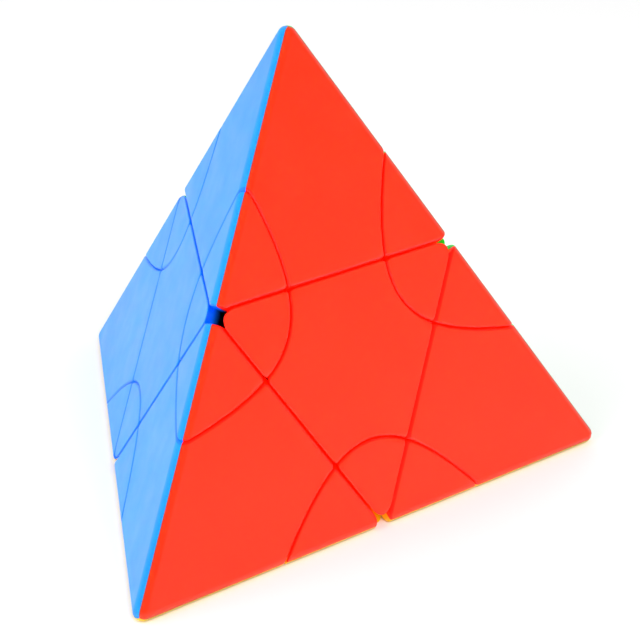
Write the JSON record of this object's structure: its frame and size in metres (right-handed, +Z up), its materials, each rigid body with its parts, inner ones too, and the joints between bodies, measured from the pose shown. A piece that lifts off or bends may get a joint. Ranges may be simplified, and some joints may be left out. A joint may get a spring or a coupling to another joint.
{
  "type": "pyramid twisty puzzle",
  "caption": "Tetrahedral twisty puzzle in coloured plastic, with halves that turn on a sprung core and a turning disc at the middle of each edge.",
  "frame": {"origin": "centre of the face the puzzle rests on", "axes": "+Z up from the resting face to the top corner, -Y towards the front face, +X towards the right corner"},
  "size_m": [0.0984, 0.0855, 0.0809],
  "materials": {
    "red_plastic": "satin moulded",
    "blue_plastic": "satin moulded",
    "green_plastic": "satin moulded",
    "yellow_plastic": "satin moulded",
    "black_plastic": "moulded",
    "steel": "zinc plated"
  },
  "bodies": {
    "base_half": {"core": "black_plastic", "hub_top_left": "black_plastic", "hub_bottom_right": "black_plastic", "hub_top_right": "black_plastic", "hub_bottom_left": "black_plastic", "hub_top_back": "black_plastic", "hub_bottom_front": "black_plastic", "screw_top_left": "steel", "screw_bottom_right": "steel", "screw_top_right": "steel", "screw_bottom_left": "steel", "screw_top_back": "steel", "screw_bottom_front": "steel", "spring_top_left": "steel", "spring_bottom_right": "steel", "spring_top_right": "steel", "spring_bottom_left": "steel", "spring_top_back": "steel", "spring_bottom_front": "steel", "corner_cap_right": "red_plastic", "corner_cap_back": "blue_plastic", "corner_foot_right": "black_plastic", "corner_foot_back": "black_plastic", "face_plate_bottom": "yellow_plastic", "face_plate_right": "green_plastic", "face_foot_bottom": "yellow_plastic", "face_foot_right": "green_plastic"},
    "turning_half": {"corner_cap_top": "red_plastic", "corner_cap_left": "red_plastic", "corner_foot_top": "black_plastic", "corner_foot_left": "black_plastic", "face_plate_left": "blue_plastic", "face_plate_front": "red_plastic", "face_foot_left": "blue_plastic", "face_foot_front": "red_plastic"},
    "disc_top_left": {"wedge_top_left_top": "red_plastic", "wedge_top_left_left": "red_plastic", "petal_top_left_front": "red_plastic", "petal_top_left_left": "blue_plastic"},
    "disc_bottom_right": {"wedge_bottom_right_right": "green_plastic", "wedge_bottom_right_back": "green_plastic", "petal_bottom_right_right": "green_plastic", "petal_bottom_right_bottom": "yellow_plastic"},
    "disc_top_right_base_side": {"wedge_top_right_right": "red_plastic", "petal_top_right_right": "green_plastic"},
    "disc_top_right_turning_side": {"wedge_top_right_top": "red_plastic", "petal_top_right_front": "red_plastic"},
    "disc_top_back_base_side": {"wedge_top_back_back": "blue_plastic", "petal_top_back_right": "green_plastic"},
    "disc_top_back_turning_side": {"wedge_top_back_top": "blue_plastic", "petal_top_back_left": "blue_plastic"},
    "disc_bottom_left_base_side": {"wedge_bottom_left_back": "blue_plastic", "petal_bottom_left_bottom": "yellow_plastic"},
    "disc_bottom_left_turning_side": {"wedge_bottom_left_left": "blue_plastic", "petal_bottom_left_left": "blue_plastic"},
    "disc_bottom_front_base_side": {"wedge_bottom_front_right": "red_plastic", "petal_bottom_front_bottom": "yellow_plastic"},
    "disc_bottom_front_turning_side": {"wedge_bottom_front_left": "red_plastic", "petal_bottom_front_front": "red_plastic"}
  },
  "joints": [
    {"name": "half_turn", "type": "hinge", "parent": "base_half", "child": "turning_half", "pos_m": [0, 0, 0.02082], "axis": [-0.7071, -0.4082, 0.5774], "continuous": true},
    {"name": "disc_top_left_turn", "type": "hinge", "parent": "turning_half", "child": "disc_top_left", "pos_m": [0, 0, 0.02082], "axis": [-0.7071, -0.4082, 0.5774], "continuous": true},
    {"name": "disc_bottom_right_turn", "type": "hinge", "parent": "base_half", "child": "disc_bottom_right", "pos_m": [0, 0, 0.02082], "axis": [0.7071, 0.4082, -0.5774], "continuous": true},
    {"name": "disc_top_right_turn", "type": "hinge", "parent": "base_half", "child": "disc_top_right_base_side", "pos_m": [0, 0, 0.02082], "axis": [0.7071, -0.4082, 0.5774], "continuous": true},
    {"name": "disc_top_right_turn_other_side", "type": "hinge", "parent": "turning_half", "child": "disc_top_right_turning_side", "pos_m": [0, 0, 0.02082], "axis": [0.7071, -0.4082, 0.5774], "continuous": true},
    {"name": "disc_top_back_turn", "type": "hinge", "parent": "base_half", "child": "disc_top_back_base_side", "pos_m": [0, 0, 0.02082], "axis": [0, 0.8165, 0.5774], "continuous": true},
    {"name": "disc_top_back_turn_other_side", "type": "hinge", "parent": "turning_half", "child": "disc_top_back_turning_side", "pos_m": [0, 0, 0.02082], "axis": [0, 0.8165, 0.5774], "continuous": true},
    {"name": "disc_bottom_left_turn", "type": "hinge", "parent": "base_half", "child": "disc_bottom_left_base_side", "pos_m": [0, 0, 0.02082], "axis": [-0.7071, 0.4082, -0.5774], "continuous": true},
    {"name": "disc_bottom_left_turn_other_side", "type": "hinge", "parent": "turning_half", "child": "disc_bottom_left_turning_side", "pos_m": [0, 0, 0.02082], "axis": [-0.7071, 0.4082, -0.5774], "continuous": true},
    {"name": "disc_bottom_front_turn", "type": "hinge", "parent": "base_half", "child": "disc_bottom_front_base_side", "pos_m": [0, 0, 0.02082], "axis": [0, -0.8165, -0.5774], "continuous": true},
    {"name": "disc_bottom_front_turn_other_side", "type": "hinge", "parent": "turning_half", "child": "disc_bottom_front_turning_side", "pos_m": [0, 0, 0.02082], "axis": [0, -0.8165, -0.5774], "continuous": true}
  ],
  "couplings": [
    {"joint": "disc_top_right_turn_other_side", "follows": "disc_top_right_turn", "ratio": 1},
    {"joint": "disc_top_back_turn_other_side", "follows": "disc_top_back_turn", "ratio": 1},
    {"joint": "disc_bottom_left_turn_other_side", "follows": "disc_bottom_left_turn", "ratio": 1},
    {"joint": "disc_bottom_front_turn_other_side", "follows": "disc_bottom_front_turn", "ratio": 1}
  ]
}
